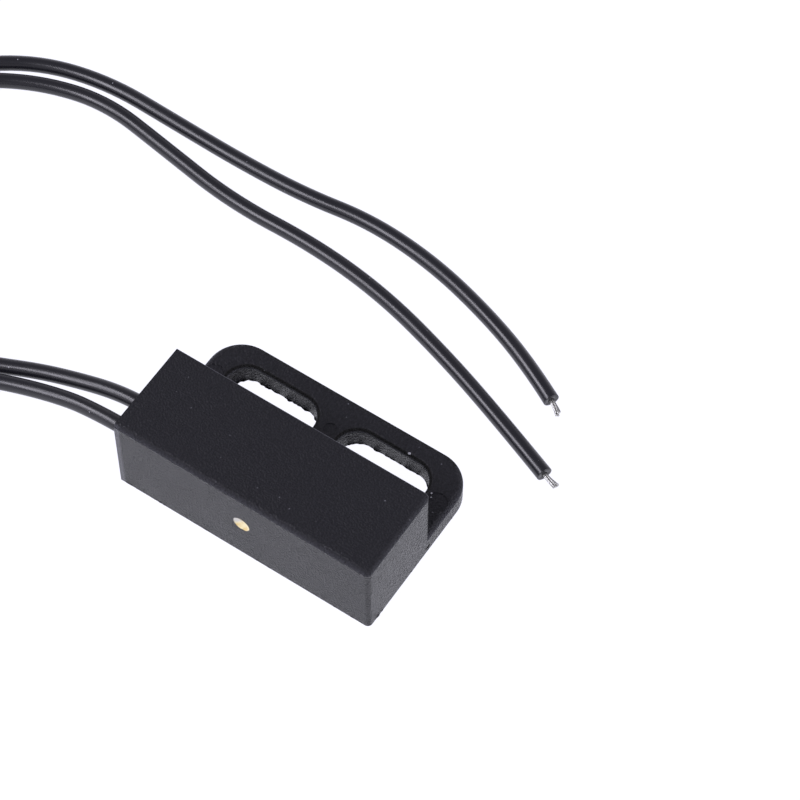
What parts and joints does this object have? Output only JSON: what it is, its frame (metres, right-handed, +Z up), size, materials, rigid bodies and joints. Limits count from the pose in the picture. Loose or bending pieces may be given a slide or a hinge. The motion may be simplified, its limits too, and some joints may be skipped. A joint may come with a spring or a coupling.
{
  "type": "flange mount reed switch",
  "caption": "Small potted reed proximity switch for sensing a door or lid, with a slotted mounting flange and two loose black leads.",
  "frame": {"origin": "middle of the housing's footprint, to 0.1 mm, on the face that lies on the mounting surface", "axes": "+Z up out of the mounting surface, +X along the body away from the leads, +Y from the front sensing face towards the slotted flange"},
  "size_m": [0.0814, 0.0393, 0.01],
  "materials": {
    "housing_plastic": "fine spark-eroded black moulding",
    "potting_resin": "cast cream epoxy",
    "cradle_nylon": "natural nylon",
    "reed_glass": "green tinted glass",
    "silicone": "translucent silicone",
    "reed_alloy": "drawn nickel iron",
    "lead_insulation": "extruded black PVC",
    "tinned_strand": "tinned copper",
    "ferrule_metal": "tin plated",
    "shrink_tube": "shrunk polyolefin",
    "tie_plastic": "black plastic coated wire"
  },
  "bodies": {
    "switch_body": {"housing": "housing_plastic", "potting_compound": "potting_resin", "glass_capsule": "reed_glass", "buffer_sleeve": "silicone", "near_reed_root": "reed_alloy", "far_reed_root": "reed_alloy", "reed_cradle": "cradle_nylon", "front_lead_inner": "lead_insulation", "rear_lead_inner": "lead_insulation", "front_lead_inner_strands": "tinned_strand", "rear_lead_inner_strands": "tinned_strand", "front_lead_ferrule": "ferrule_metal", "rear_lead_ferrule": "ferrule_metal", "front_lead_shrink_sleeve": "shrink_tube", "rear_lead_shrink_sleeve": "shrink_tube", "rear_lead": "lead_insulation", "front_lead": "lead_insulation", "rear_lead_tail": "lead_insulation", "front_lead_tail": "lead_insulation", "lead_coil": "lead_insulation", "coil_tie": "tie_plastic", "rear_lead_strands": "tinned_strand", "front_lead_strands": "tinned_strand"},
    "near_blade": {"near_reed_blade": "reed_alloy"},
    "far_blade": {"far_reed_blade": "reed_alloy"}
  },
  "joints": [
    {"name": "near_blade_flex", "type": "hinge", "parent": "switch_body", "child": "near_blade", "pos_m": [-0.002, -0.004, 0.0064], "axis": [0, 1, 0], "range_deg": [0, 1], "stiffness_Nm_per_rad": 0.001},
    {"name": "far_blade_flex", "type": "hinge", "parent": "switch_body", "child": "far_blade", "pos_m": [0.007, -0.004, 0.006], "axis": [0, 1, 0], "range_deg": [0, 1], "stiffness_Nm_per_rad": 0.001}
  ],
  "couplings": [
    {"joint": "far_blade_flex", "follows": "near_blade_flex", "ratio": 1}
  ]
}
